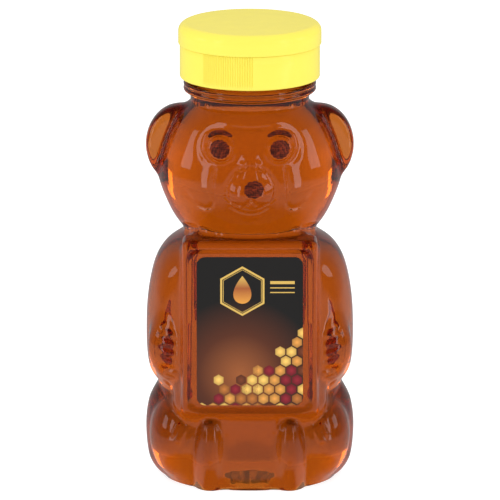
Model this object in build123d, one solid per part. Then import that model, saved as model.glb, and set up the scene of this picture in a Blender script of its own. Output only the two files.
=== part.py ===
from build123d import *
import os

# A bear-shaped squeeze bottle of honey with a screw cap, a flip lid and two labels.
# All sizes are millimetres. +Z is up, the bear faces -Y, and the origin is the centre of
# the base, on the surface that the bottle stands on.

# Wall and clearances
bottle_wall = 0.8
fill_gap = 0.1
label_gap = 0.02
label_film = 0.12
ink_film = 0.12
cut_overrun = 2.0

# Hips, the widest part, on which the bottle stands
hips_height = 33.0
hips_width = 62.0
hips_depth = 48.6
push_up_radius = 13.0
push_up_height = 1.4
# Each row: share of the height, of the width and of the depth
hips_shares = (
    (0.00, 0.79, 0.86),
    (0.05, 0.875, 0.925),
    (0.16, 0.95, 0.975),
    (0.34, 0.99, 1.00),
    (0.52, 1.00, 1.00),
    (0.70, 0.972, 0.98),
    (0.82, 0.915, 0.93),
    (0.91, 0.86, 0.88),
    (1.00, 0.78, 0.80),
)

# Torso, a block with rounded edges behind the arms
torso_low = 20.0
torso_high = 80.0
torso_width = 49.0
torso_depth = 45.5
torso_corner = 11.0
# Each row: share of the height, of the width and of the depth
torso_shares = (
    (0.00, 0.94, 0.90),
    (0.14, 1.00, 1.00),
    (0.50, 1.00, 1.00),
    (0.80, 0.98, 1.00),
    (0.94, 0.84, 0.93),
    (1.00, 0.66, 0.78),
)

# Frame round the label, proud of the torso's front, with the label sunk in it
frame_width = 40.0
frame_low = 22.5
frame_high = 77.2
frame_front = 24.8
frame_depth = 9.0
frame_edge_round = 1.6
panel_width = 36.2
panel_low = 25.2
panel_high = 74.2
panel_sink = 0.9
panel_corner = 3.2

# Labels
label_width = 31.3
label_height = 45.0
label_corner = 2.5
label_centre_height = 49.7
back_label_width = 31.0
back_label_height = 42.0
back_panel_sink = 0.25

# Arms, hanging at the sides
arm_low = 29.0
arm_height = 48.0
arm_reach = 30.5
arm_half_thickness = 10.0
arm_half_depth = 17.2
arm_centre_y = -1.0
# Each row: share of the height, of the reach, of the half thickness and of the half depth
arm_shares = (
    (0.00, 0.83, 0.35, 0.45),
    (0.04, 0.90, 0.58, 0.65),
    (0.10, 0.965, 0.80, 0.82),
    (0.20, 0.995, 0.96, 0.96),
    (0.34, 1.00, 1.00, 1.00),
    (0.52, 0.985, 1.00, 1.00),
    (0.68, 0.95, 0.96, 0.95),
    (0.80, 0.895, 0.86, 0.86),
    (0.90, 0.81, 0.70, 0.72),
    (1.00, 0.66, 0.42, 0.50),
)
paw_x = 23.0
paw_y = -16.0
paw_z = 42.2
paw_half_width = 4.3
paw_half_depth = 3.6
paw_half_height = 8.2

# Feet and belly at the front of the hips
foot_x = 11.7
foot_y = -18.6
foot_z = 9.0
foot_half_width = 4.9
foot_half_depth = 6.6
foot_half_height = 13.4
belly_y = -13.8
belly_z = 9.6
belly_half_width = 9.6
belly_half_depth = 11.2
belly_half_height = 14.0

# Head
head_low = 73.5
head_height = 41.5
head_width = 54.2
head_depth = 49.0
# Each row: share of the height, of the width and of the depth
head_shares = (
    (0.000, 0.60, 0.62),
    (0.085, 0.745, 0.78),
    (0.165, 0.835, 0.87),
    (0.255, 0.905, 0.935),
    (0.370, 0.975, 0.99),
    (0.460, 1.00, 1.00),
    (0.585, 0.97, 0.985),
    (0.770, 0.875, 0.925),
    (0.880, 0.785, 0.865),
    (0.960, 0.68, 0.78),
    (1.000, 0.61, 0.70),
)
mask_y = -16.6
mask_z = 91.5
mask_half_width = 11.0
mask_half_depth = 9.0
mask_half_height = 11.5
snout_y = -21.0
snout_z = 92.2
snout_half_width = 7.2
snout_half_depth = 7.0
snout_half_height = 7.6

# Ears
ear_x = 20.3
ear_y = 1.0
ear_z = 101.6
ear_half_width = 10.5
ear_half_depth = 6.6
ear_half_height = 12.6
ear_dish_y = -6.4
ear_dish_half_width = 8.6
ear_dish_half_depth = 3.9
ear_dish_half_height = 10.6

# Printed eyes and nose, on small moulded domes
eye_x = 8.8
eye_z = 104.2
eye_seat_y = -21.6
eye_turn_angle = 20.0
eye_tilt_angle = 12.0
eye_dome_radius = 4.2
eye_dome_sink = 3.1
eye_print_radius = 2.75
nose_x = 1.2
nose_z = 94.0
nose_print_radius = 2.75

# Neck finish
neck_radius = 17.55
neck_bore_radius = 15.7
shoulder_height = 111.5
bead_low = 116.0
bead_high = 120.3
bead_radius = 19.6
bead_groove = 0.5
bead_round = 0.9
rim_height = 129.4
rim_round = 0.6
fill_height = 121.6

# Screw thread, six turns to the inch
inch = 25.4
turns_per_inch = 6
thread_pitch = inch / turns_per_inch
full_turn = 360.0
between_turns_share = 0.5
neck_thread_turns = 1.25
cap_thread_turns = 1.25
cap_thread_lead_angle = -180.0
thread_seat = 0.35
thread_start_height = 122.7
thread_radius = 18.6
thread_root_width = 1.7
thread_crest_width = 0.8
thread_sink = 0.25
thread_clearance = 0.3

# Cap base, with its thread, deck and spout
cap_facing_angle = 19.0
cap_bottom = 121.3
cap_radius = 20.7
cap_bore_radius = 18.95
cap_bottom_round = 1.2
cap_mouth_chamfer = 0.5
deck_underside = 130.05
deck_top = 131.45
deck_edge_round = 0.4
spout_height = 4.0
spout_base_radius = 5.0
spout_tip_radius = 4.2
spout_bore_radius = 3.2
grip_rib_radius = 0.26
grip_rib_angle = 2.0
grip_rib_count = 22
grip_first_angle = -61.0
grip_margin_low = 1.9
grip_margin_high = 0.7
thumb_dish_radius = 9.0
thumb_dish_sink = 0.55

# Flip lid
lid_gap = 0.1
lid_radius = 21.15
lid_top = 138.1
lid_wall = 1.3
lid_edge_round = 1.9
lid_seam_round = 0.5
plug_clearance = 0.45
plug_insertion = 1.2
plug_tip_chamfer = 0.4
hinge_offset = 0.15
hinge_width = 9.0
hinge_web = 0.45
hinge_film = 0.22
hinge_groove_height = 0.8
hinge_reach = 1.5
hinge_notch_play = 0.3

# Seal liner, loose in the cap, on the rim
liner_play = 0.25
liner_gap = 0.05


def ellipsoid(x, y, z, half_width, half_depth, half_height):
    """A round lump with its centre at x, y, z."""
    unit = Sphere(1)
    return Pos(x, y, z) * scale(unit, by=(half_width, half_depth, half_height))


def stacked_ellipses(rows, inset):
    """A smooth body through ellipses: rows of height, centre x, centre y and half sizes."""
    sections = []
    for height, centre_x, centre_y, half_width, half_depth in rows:
        ring = Ellipse(half_width - inset, half_depth - inset)
        sections.append(Pos(centre_x, centre_y, height) * ring)
    return loft(sections)


def ring_shape(points):
    """A ring turned round the bottle's axis from an outline of radius and height."""
    outline = make_face(Polyline(*[(r, 0, z) for r, z in points], close=True))
    return revolve(outline, Axis.Z)


def hips(inset):
    rows = []
    for index, (height, width, depth) in enumerate(hips_shares):
        lift = inset if index == 0 else 0
        rows.append((height * hips_height + lift, 0, 0, width * hips_width / 2, depth * hips_depth / 2))
    return stacked_ellipses(rows, inset)


def torso(inset):
    sections = []
    for height, width, depth in torso_shares:
        level = torso_low + height * (torso_high - torso_low)
        outline = RectangleRounded(
            width * torso_width - 2 * inset, depth * torso_depth - 2 * inset, torso_corner - inset
        )
        sections.append(Pos(0, 0, level) * outline)
    return loft(sections)


def label_frame(inset):
    """The flat-fronted block that carries the label, thinner where its wall is measured."""
    front = frame_front - inset - (panel_sink if inset else 0)
    block = Box(
        frame_width - 2 * inset,
        frame_depth,
        frame_high - frame_low - 2 * inset,
        align=(Align.CENTER, Align.MIN, Align.CENTER),
    )
    block = Pos(0, -front, (frame_low + frame_high) / 2) * block
    front_edges = block.faces().sort_by(Axis.Y)[0].edges()
    return fillet(front_edges, frame_edge_round)


def arm(side, inset):
    rows = []
    for height, reach, thickness, depth in arm_shares:
        half_thickness = thickness * arm_half_thickness
        rows.append((
            arm_low + height * arm_height,
            side * (reach * arm_reach - half_thickness),
            arm_centre_y,
            half_thickness,
            depth * arm_half_depth,
        ))
    paw = ellipsoid(
        side * paw_x, paw_y, paw_z,
        paw_half_width - inset, paw_half_depth - inset, paw_half_height - inset,
    )
    return stacked_ellipses(rows, inset) + paw


def standing_lump(x, y, z, half_width, half_depth, half_height, inset):
    """A round lump cut flat where the bottle stands."""
    lump = ellipsoid(x, y, z, half_width - inset, half_depth - inset, half_height - inset)
    above = Box(
        hips_width, hips_width, hips_width, align=(Align.CENTER, Align.CENTER, Align.MIN)
    )
    return lump & (Pos(0, 0, inset) * above)


def ear(side, inset):
    lobe = ellipsoid(
        side * ear_x, ear_y, ear_z,
        ear_half_width - inset, ear_half_depth - inset, ear_half_height - inset,
    )
    dish = ellipsoid(
        side * ear_x, ear_dish_y, ear_z,
        ear_dish_half_width + inset, ear_dish_half_depth + inset, ear_dish_half_height + inset,
    )
    return lobe - dish


def head(inset):
    rows = []
    for height, width, depth in head_shares:
        level = head_low + height * head_height
        rows.append((level, 0, 0, width * head_width / 2, depth * head_depth / 2))
    return stacked_ellipses(rows, inset)


def bear_form(inset):
    """The whole bear up to the shoulders, drawn in by the inset all round."""
    form = hips(inset) + torso(inset) + label_frame(inset) + head(inset)
    form += standing_lump(
        0, belly_y, belly_z, belly_half_width, belly_half_depth, belly_half_height, inset
    )
    form += ellipsoid(
        0, mask_y, mask_z, mask_half_width - inset, mask_half_depth - inset, mask_half_height - inset
    )
    form += ellipsoid(
        0, snout_y, snout_z, snout_half_width - inset, snout_half_depth - inset, snout_half_height - inset
    )
    for side in (-1, 1):
        form += arm(side, inset)
        form += standing_lump(
            side * foot_x, foot_y, foot_z, foot_half_width, foot_half_depth, foot_half_height, inset
        )
        form += ear(side, inset)
    return form


def push_up(inset):
    """The shallow dome under the base, as a lens that is cut from the form."""
    rise = push_up_height + inset
    radius = (push_up_radius ** 2 + push_up_height ** 2) / (2 * push_up_height)
    ball = Sphere(radius + inset)
    return Pos(0, 0, rise - radius - inset) * ball


def eye_seat(side):
    """Where an eye sits on the face, looking out square to it."""
    return Pos(side * eye_x, eye_seat_y, eye_z) * Rot(-eye_tilt_angle, 0, side * eye_turn_angle)


def eye_dome(side):
    return eye_seat(side) * Pos(0, eye_dome_sink, 0) * Sphere(eye_dome_radius)


def helix_thread(start_height, start_angle, turns, root_radius, crest_radius):
    """One thread, a tapered rib along a helix, sunk into the wall that carries it."""
    inwards = crest_radius < root_radius
    sink = thread_sink if inwards else -thread_sink
    path = Helix(thread_pitch, turns * thread_pitch, root_radius)
    section = make_face(Polyline(
        (root_radius + sink, 0, -thread_root_width / 2),
        (root_radius + sink, 0, thread_root_width / 2),
        (crest_radius, 0, thread_crest_width / 2),
        (crest_radius, 0, -thread_crest_width / 2),
        close=True,
    ))
    rib = sweep(section, path=path, is_frenet=True)
    return Pos(0, 0, start_height) * (Rot(0, 0, start_angle) * rib)


def neck_outside():
    """Neck, the two-lobed bead under the cap and the plain finish above it."""
    middle = (bead_low + bead_high) / 2
    half_groove = bead_groove / 2
    outline = ring_shape((
        (0, shoulder_height),
        (neck_radius, shoulder_height),
        (neck_radius, bead_low - bead_round),
        (bead_radius - bead_round, bead_low),
        (bead_radius, bead_low + bead_round),
        (bead_radius, middle - half_groove),
        (bead_radius - bead_groove, middle),
        (bead_radius, middle + half_groove),
        (bead_radius, bead_high - bead_round),
        (bead_radius - bead_round, bead_high),
        (neck_radius, bead_high),
        (neck_radius, rim_height - rim_round),
        (neck_radius - rim_round, rim_height),
        (0, rim_height),
    ))
    return outline


def bottle_shell():
    """The blow-moulded bear with its neck, hollow and open at the mouth."""
    outside = bear_form(0) - push_up(0)
    for side in (-1, 1):
        outside += eye_dome(side)
    outside += neck_outside()
    outside += helix_thread(thread_start_height, 0, neck_thread_turns, neck_radius, thread_radius)
    outside -= label_recess()
    outside -= back_recess()
    inside = inner_space(bottle_wall, rim_height + cut_overrun)
    return outside - inside


def panel_block(width, height, corner, middle_height, depth):
    """A block with rounded corners, standing behind its front plane at y of zero."""
    face = RectangleRounded(width, height, corner)
    block = extrude(face, amount=depth)
    return Pos(0, 0, middle_height) * (Rot(90, 0, 0) * block)


def label_recess():
    """The sunk panel in the frame, from its floor outwards."""
    floor = frame_front - panel_sink
    block = panel_block(
        panel_width, panel_high - panel_low, panel_corner, (panel_high + panel_low) / 2, cut_overrun
    )
    return Pos(0, -floor, 0) * block


def back_recess():
    """The flat on the bear's back that carries the second label."""
    height = back_label_height + 2 * panel_corner
    width = back_label_width + 2 * panel_corner
    block = panel_block(width, height, panel_corner, label_centre_height, cut_overrun)
    return Rot(0, 0, 180) * (Pos(0, -back_panel_floor(), 0) * block)


def back_panel_floor():
    return torso_depth / 2 - back_panel_sink



def inner_space(inset, top):
    """The hollow of the bottle, up to the given height."""
    hollow = bear_form(inset) - push_up(inset)
    bore = Cylinder(
        neck_bore_radius - (inset - bottle_wall),
        top - shoulder_height,
        align=(Align.CENTER, Align.CENTER, Align.MIN),
    )
    return hollow + Pos(0, 0, shoulder_height) * bore


def honey():
    """What the bottle holds, filling it to just above the bead."""
    return inner_space(bottle_wall + fill_gap, fill_height)


def front_label():
    film = panel_block(label_width, label_height, label_corner, label_centre_height, label_film)
    return Pos(0, -(frame_front - panel_sink + label_gap), 0) * film


def back_label():
    film = panel_block(
        back_label_width, back_label_height, label_corner, label_centre_height, label_film
    )
    return Rot(0, 0, 180) * (Pos(0, -(back_panel_floor() + label_gap), 0) * film)


def eye_print(side):
    """Ink on the front of an eye's dome."""
    inner = eye_dome_radius + label_gap
    shell = Sphere(inner + ink_film) - Sphere(inner)
    column = Rot(90, 0, 0) * Cylinder(
        eye_print_radius, eye_dome_radius + cut_overrun, align=(Align.CENTER, Align.CENTER, Align.MIN)
    )
    return eye_seat(side) * Pos(0, eye_dome_sink, 0) * (shell & column)


def nose_print():
    """Ink on the front of the snout."""
    inner = ellipsoid(
        0, snout_y, snout_z,
        snout_half_width + label_gap, snout_half_depth + label_gap, snout_half_height + label_gap,
    )
    outer = ellipsoid(
        0, snout_y, snout_z,
        snout_half_width + label_gap + ink_film,
        snout_half_depth + label_gap + ink_film,
        snout_half_height + label_gap + ink_film,
    )
    column = Rot(90, 0, 0) * Cylinder(
        nose_print_radius, snout_half_depth + cut_overrun, align=(Align.CENTER, Align.CENTER, Align.MIN)
    )
    return (outer - inner) & (Pos(nose_x, snout_y, nose_z) * column)


def cap_base():
    """The screwed part of the cap: skirt with an inner thread, deck and spout."""
    body = ring_shape((
        (spout_bore_radius, deck_underside),
        (cap_bore_radius, deck_underside),
        (cap_bore_radius, cap_bottom + cap_mouth_chamfer),
        (cap_bore_radius + cap_mouth_chamfer, cap_bottom),
        (cap_radius, cap_bottom),
        (cap_radius, deck_top),
        (spout_base_radius, deck_top),
        (spout_tip_radius, deck_top + spout_height),
        (spout_bore_radius, deck_top + spout_height),
    ))
    body = fillet(outer_rim(body, cap_radius, 0), cap_bottom_round)
    body = fillet(outer_rim(body, cap_radius, -1), deck_edge_round)
    lead = cap_thread_lead_angle / full_turn
    body += helix_thread(
        thread_start_height + (lead + between_turns_share) * thread_pitch - thread_seat,
        cap_thread_lead_angle,
        cap_thread_turns,
        cap_bore_radius,
        neck_radius + thread_clearance,
    )
    body -= thumb_dish()
    body += grip_ribs()
    return body


def outer_rim(body, radius, place):
    """A round edge of the given radius: the lowest at place 0, the highest at place -1."""
    rings = [
        edge for edge in body.edges().filter_by(GeomType.CIRCLE) if round(edge.radius - radius, 5) == 0
    ]
    return sorted(rings, key=lambda edge: edge.center().Z)[place]


def thumb_dish():
    """A shallow dish under the lid's front edge, where a thumb lifts it."""
    centre = cap_radius + thumb_dish_radius - thumb_dish_sink
    ball = Sphere(thumb_dish_radius)
    return Pos(0, -centre, (deck_top + cap_bottom) / 2) * ball


def grip_ribs():
    """Two patches of fine upright ribs, opposite each other."""
    low = cap_bottom + grip_margin_low
    height = deck_top - grip_margin_high - low
    ribs = []
    rib = Pos(0, -cap_radius, low) * Cylinder(
        grip_rib_radius, height, align=(Align.CENTER, Align.CENTER, Align.MIN)
    )
    for patch in (0, 180):
        for number in range(grip_rib_count):
            angle = grip_first_angle + patch + number * grip_rib_angle
            ribs.append(Rot(0, 0, angle) * rib)
    return ribs


def lid():
    """The flip lid, with the plug that closes the spout."""
    low = deck_top + lid_gap
    roof = lid_top - lid_wall
    plug_radius = spout_bore_radius - plug_clearance
    plug_tip = deck_top + spout_height - plug_insertion
    body = ring_shape((
        (0, plug_tip),
        (plug_radius - plug_tip_chamfer, plug_tip),
        (plug_radius, plug_tip + plug_tip_chamfer),
        (plug_radius, roof),
        (lid_radius - lid_wall, roof),
        (lid_radius - lid_wall, low),
        (lid_radius, low),
        (lid_radius, lid_top),
        (0, lid_top),
    ))
    body = fillet(outer_rim(body, lid_radius, -1), lid_edge_round)
    body = fillet(outer_rim(body, lid_radius, 0), lid_seam_round)
    notch = Box(
        hinge_width + 2 * hinge_notch_play,
        cut_overrun,
        2 * (hinge_reach + hinge_notch_play),
        align=(Align.CENTER, Align.MIN, Align.CENTER),
    )
    return body - Pos(0, hinge_face(), low) * notch


def hinge_face():
    """Distance from the axis to the inner face of the hinge's web."""
    return cap_radius + hinge_offset


def living_hinge():
    """The thin web that joins lid and cap base, with its film line between them."""
    middle = deck_top + lid_gap / 2
    web = Box(hinge_width, hinge_web, 2 * hinge_reach, align=(Align.CENTER, Align.MIN, Align.CENTER))
    groove = Box(
        hinge_width + cut_overrun,
        hinge_web,
        hinge_groove_height,
        align=(Align.CENTER, Align.MIN, Align.CENTER),
    )
    strap = Pos(0, hinge_face(), middle) * web
    return strap - Pos(0, hinge_face() + hinge_film, middle) * groove


def seal_liner():
    """The disc that seals the mouth under the deck."""
    low = rim_height + liner_gap
    disc = Cylinder(
        cap_bore_radius - liner_play,
        deck_underside - liner_gap - low,
        align=(Align.CENTER, Align.CENTER, Align.MIN),
    )
    return Pos(0, 0, low) * disc


def faced(shape):
    """Turns a piece of the cap so that its front stands at the cap's facing angle."""
    return Rot(0, 0, cap_facing_angle) * shape


pieces = {
    "bottle_shell": bottle_shell(),
    "honey": honey(),
    "front_label": front_label(),
    "back_label": back_label(),
    "left_eye_print": eye_print(1),
    "right_eye_print": eye_print(-1),
    "nose_print": nose_print(),
    "seal_liner": seal_liner(),
    "cap_base": faced(cap_base()),
    "living_hinge": faced(living_hinge()),
    "lid": faced(lid()),
}

os.makedirs("parts", exist_ok=True)
for name, piece in pieces.items():
    export_step(piece, "parts/" + name + ".step")
    print(name, round(piece.volume, 1), "mm3")
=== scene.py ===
import math

import bmesh
import bpy
import numpy as np
from bpy.props import FloatProperty, FloatVectorProperty, IntProperty, PointerProperty
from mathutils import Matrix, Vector


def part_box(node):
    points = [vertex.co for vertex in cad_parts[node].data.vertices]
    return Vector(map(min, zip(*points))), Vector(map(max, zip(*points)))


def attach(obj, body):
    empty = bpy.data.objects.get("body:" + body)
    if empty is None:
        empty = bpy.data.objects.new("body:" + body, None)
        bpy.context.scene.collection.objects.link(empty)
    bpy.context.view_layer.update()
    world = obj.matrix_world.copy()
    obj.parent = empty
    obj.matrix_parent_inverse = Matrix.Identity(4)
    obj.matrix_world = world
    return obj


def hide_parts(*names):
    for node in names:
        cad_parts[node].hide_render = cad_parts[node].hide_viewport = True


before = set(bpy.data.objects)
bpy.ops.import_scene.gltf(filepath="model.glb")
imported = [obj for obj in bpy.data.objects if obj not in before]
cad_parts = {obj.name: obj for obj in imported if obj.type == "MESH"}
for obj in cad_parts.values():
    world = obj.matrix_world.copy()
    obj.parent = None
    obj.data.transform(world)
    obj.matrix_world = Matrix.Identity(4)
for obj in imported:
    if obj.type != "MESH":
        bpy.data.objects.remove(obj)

bl_info = {
    "name": "Honey bear bottle",
    "version": (1, 0, 0),
    "blender": (4, 5, 0),
    "location": "3D View > Sidebar > Honey bear",
    "description": "Builds a bear-shaped bottle of honey with its cap and labels",
    "category": "Object",
}

# Shapes are modelled in millimetres and brought to metres when a piece is finished
MM = 0.001


def node_box(name):
    """A node's lowest and highest corner, in millimetres."""
    low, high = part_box(name)
    return Vector(low) / MM, Vector(high) / MM


LABEL_LOW, LABEL_HIGH = node_box("front_label")
BACK_LOW, BACK_HIGH = node_box("back_label")
BASE_LOW, BASE_HIGH = node_box("cap_base")
LID_LOW, LID_HIGH = node_box("lid")
LINER_LOW, LINER_HIGH = node_box("seal_liner")
HONEY_LEVEL = node_box("honey")[1].z
# The honey's skin lies this far inside the wall
HONEY_GAP = 0.06
# Radius of the neck's bore, and the pitch of its thread with six turns to the inch
BORE = 15.7
THREAD_PITCH = 25.4 / 6
# Flat shapes start on this plane in front of the bear before they are laid on its skin
IN_FRONT = -60
PRINT_LIFT = 0.09
PRINT_THICKNESS = 0.05
LABEL_CORNER = 2.5


def length_setting(name, description, millimetres):
    return FloatProperty(name=name, description=description, default=millimetres * MM, unit="LENGTH")


def colour_setting(name, description, colour):
    return FloatVectorProperty(
        name=name, description=description, default=colour, subtype="COLOR", min=0, max=1
    )


class BottleSizes(bpy.types.PropertyGroup):
    wall: length_setting("Wall", "Thickness of the bottle's wall", 0.95)
    grain: length_setting("Mesh size", "Size of the faces of the bear's skin", 0.85)
    inner_grain: length_setting("Inner mesh size", "Size of the faces inside the bottle", 1.3)
    soften: IntProperty(name="Softening", description="Rounds of smoothing where the lumps meet", default=6)


class Looks(bpy.types.PropertyGroup):
    cap_colour: colour_setting("Cap", "Colour of the cap's plastic", (0.86, 0.74, 0.10))
    honey_colour: colour_setting("Honey", "Light that passes through the honey", (0.90, 0.717, 0.133))
    honey_density: FloatProperty(
        name="Honey strength", description="How fast the honey takes up light, per metre", default=60.0
    )
    backed_tint: colour_setting(
        "Tint of the plastic", "Tint that the wall takes where honey lies behind it", (0.50, 0.158, 0.028)
    )
    honey_tint: colour_setting("Honey tint", "Colour of a thin layer of honey", (0.96, 0.85, 0.70))
    ink_colour: colour_setting("Ink", "Colour of the printed eyes and nose", (0.036, 0.0058, 0.0022))


def deselect():
    if bpy.context.mode != "OBJECT":
        bpy.ops.object.mode_set(mode="OBJECT")
    bpy.ops.object.select_all(action="DESELECT")


def select(*objects):
    deselect()
    for ob in objects:
        ob.select_set(True)
    bpy.context.view_layer.objects.active = objects[0]


def settle(ob):
    """Puts an object's place, turn and scale into its mesh."""
    select(ob)
    bpy.ops.object.transform_apply(location=True, rotation=True, scale=True)
    return ob


def apply(ob, kind, **settings):
    """Adds a modifier with the given settings and applies it."""
    select(ob)
    modifier = ob.modifiers.new(kind.lower(), kind)
    for key, value in settings.items():
        setattr(modifier, key, value)
    bpy.ops.object.modifier_apply(modifier=modifier.name)
    return ob


def join(name, *objects):
    select(*objects)
    bpy.ops.object.join()
    ob = bpy.context.object
    ob.name = name
    return ob


def copy(ob, name):
    twin = bpy.data.objects.new(name, ob.data.copy())
    bpy.context.collection.objects.link(twin)
    return twin


def empty_object(name):
    ob = bpy.data.objects.new(name, bpy.data.meshes.new(name))
    bpy.context.collection.objects.link(ob)
    return ob


def object_from(name, shape):
    """An object made from a bmesh, which is used up."""
    ob = empty_object(name)
    shape.to_mesh(ob.data)
    shape.free()
    return ob


def finish_piece(ob, name, material, body, slot, *nodes, sharp=35.0):
    """Scales a piece to metres, smooths its shading, ties it to its body and hides the nodes that it stands
    for.
    """
    ob.scale = (MM, MM, MM)
    settle(ob)
    ob.name = name
    ob.data.name = name
    bpy.ops.object.shade_smooth_by_angle(angle=math.radians(sharp))
    if material:
        ob.data.materials.clear()
        ob.data.materials.append(material)
    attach(ob, body)
    if nodes:
        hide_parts(*nodes)
    return ob


def turn_outwards(ob):
    """Merges doubled points and turns all faces outwards."""
    select(ob)
    bpy.ops.object.mode_set(mode="EDIT")
    bpy.ops.mesh.select_all(action="SELECT")
    bpy.ops.mesh.remove_doubles(threshold=1e-4)
    bpy.ops.mesh.normals_make_consistent(inside=False)
    bpy.ops.object.mode_set(mode="OBJECT")
    return ob


def flowing(rows, steps=6):
    """Rows of numbers with smooth rows between them."""
    rows = np.array(rows, float)
    out = []
    for i in range(len(rows) - 1):
        a, b = rows[max(i - 1, 0)], rows[i]
        c, d = rows[i + 1], rows[min(i + 2, len(rows) - 1)]
        for k in range(steps):
            u = k / steps
            bend = (2 * a - 5 * b + 4 * c - d) * u ** 2 + (3 * b - a - 3 * c + d) * u ** 3
            out.append(0.5 * (2 * b + (c - a) * u + bend))
    out.append(rows[-1])
    return [tuple(row) for row in out]


def stack(name, rows, segments=96):
    """A body through ellipses, each row giving height, centre x, centre y and half sizes."""
    deselect()
    z, x, y, width, depth = rows[0]
    bpy.ops.mesh.primitive_circle_add(vertices=segments, radius=1, fill_type="NGON", location=(x, y, z))
    ob = bpy.context.object
    ob.name = name
    ob.scale = (width, depth, 1)
    settle(ob)
    bpy.ops.object.mode_set(mode="EDIT")
    bpy.ops.mesh.select_all(action="SELECT")
    for low, high in zip(rows, rows[1:]):
        move = (high[1] - low[1], high[2] - low[2], high[0] - low[0])
        bpy.ops.mesh.extrude_region_move(TRANSFORM_OT_translate={"value": move})
        bpy.ops.transform.resize(
            value=(high[3] / low[3], high[4] / low[4], 1), center_override=(high[1], high[2], high[0])
        )
    bpy.ops.mesh.select_all(action="SELECT")
    bpy.ops.mesh.normals_make_consistent(inside=False)
    bpy.ops.object.mode_set(mode="OBJECT")
    return ob


def lump(name, centre, half_sizes):
    """A round lump with three half sizes."""
    deselect()
    bpy.ops.mesh.primitive_uv_sphere_add(segments=64, ring_count=32, radius=1, location=centre)
    ob = bpy.context.object
    ob.name = name
    ob.scale = half_sizes
    return settle(ob)


def block(name, low, high, edge=0.0, segments=4):
    """A box between two corners with rounded edges."""
    deselect()
    low, high = Vector(low), Vector(high)
    bpy.ops.mesh.primitive_cube_add(size=1, location=(low + high) / 2)
    ob = bpy.context.object
    ob.name = name
    ob.scale = high - low
    settle(ob)
    if edge:
        apply(ob, "BEVEL", width=edge, segments=segments, limit_method="NONE")
    return ob


def lathe(name, outline, segments=160):
    """A ring spun about the upright axis from points of radius and height, closed on itself or the axis."""
    ob = empty_object(name)
    last = len(outline) - 1
    edges = [(i, i + 1) for i in range(last)]
    if outline[0][0] > 0:
        edges.append((last, 0))
    ob.data.from_pydata([(radius, 0, height) for radius, height in outline], edges, [])
    apply(ob, "SCREW", steps=segments, render_steps=segments, use_merge_vertices=True, merge_threshold=1e-4)
    return turn_outwards(ob)


def arc(centre, radius, start, end, steps=6):
    """Points of an arc in the radius and height plane, angles in degrees."""
    turns = [math.radians(start + (end - start) * i / steps) for i in range(steps + 1)]
    return [(centre[0] + radius * math.cos(t), centre[1] + radius * math.sin(t)) for t in turns]


def cut(ob, tool, operation="DIFFERENCE"):
    """Cuts one form out of another, and uses it up."""
    apply(ob, "BOOLEAN", object=tool, operation=operation, solver="EXACT")
    bpy.data.objects.remove(tool)
    return ob


def merge(ob, tool):
    return cut(ob, tool, "UNION")


def points_of(ob):
    """An object's points and their normals as two tables."""
    count = len(ob.data.vertices)
    places, normals = np.empty(count * 3), np.empty(count * 3)
    ob.data.vertices.foreach_get("co", places)
    ob.data.vertices.foreach_get("normal", normals)
    return places.reshape(-1, 3), normals.reshape(-1, 3)


def put_points(ob, places):
    ob.data.vertices.foreach_set("co", places.ravel())
    ob.data.update()


def refine(ob, regions):
    """Divides the faces whose middles lie in one of the regions, and evens them out."""
    select(ob)
    mesh = ob.data
    middles = np.empty(len(mesh.polygons) * 3)
    mesh.polygons.foreach_get("center", middles)
    middles = middles.reshape(-1, 3)
    chosen = np.zeros(len(middles), bool)
    for low, high in regions:
        chosen |= np.all((middles > low) & (middles < high), axis=1)
    bpy.ops.object.mode_set(mode="EDIT")
    bpy.ops.mesh.select_mode(type="FACE")
    bpy.ops.mesh.select_all(action="DESELECT")
    bpy.ops.object.mode_set(mode="OBJECT")
    mesh.polygons.foreach_set("select", chosen)
    bpy.ops.object.mode_set(mode="EDIT")
    bpy.ops.mesh.subdivide(number_cuts=1, smoothness=0)
    bpy.ops.mesh.vertices_smooth(factor=0.5, repeat=4)
    bpy.ops.mesh.select_mode(type="VERT")
    bpy.ops.object.mode_set(mode="OBJECT")


def near_path(x, z, path):
    """Distance of each point to a smooth path of x and z."""
    points = np.array(flowing(path, 5))
    best = np.full(len(x), 1e9)
    for (ax, az), (bx, bz) in zip(points, points[1:]):
        dx, dz = bx - ax, bz - az
        along = np.clip(((x - ax) * dx + (z - az) * dz) / (dx * dx + dz * dz + 1e-12), 0, 1)
        best = np.minimum(best, np.hypot(x - ax - along * dx, z - az - along * dz))
    return best


def ridge(away, width):
    """A soft ridge one unit high, by the distance from its line."""
    return np.exp(-((away / width) ** 2))


def hump(value, middle, half):
    """A round hump one unit high between two ends."""
    return np.maximum(0, 1 - ((value - middle) / half) ** 2)


def crease(x, z, path, width, depth):
    """A soft crease along a path, sunk by its depth."""
    return -depth * ridge(near_path(x, z, path), width)


def step(value, low, high):
    """Rises smoothly from 0 to 1 as the value goes from low to high."""
    u = np.clip((value - low) / (high - low), 0, 1)
    return u * u * (3 - 2 * u)


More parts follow.
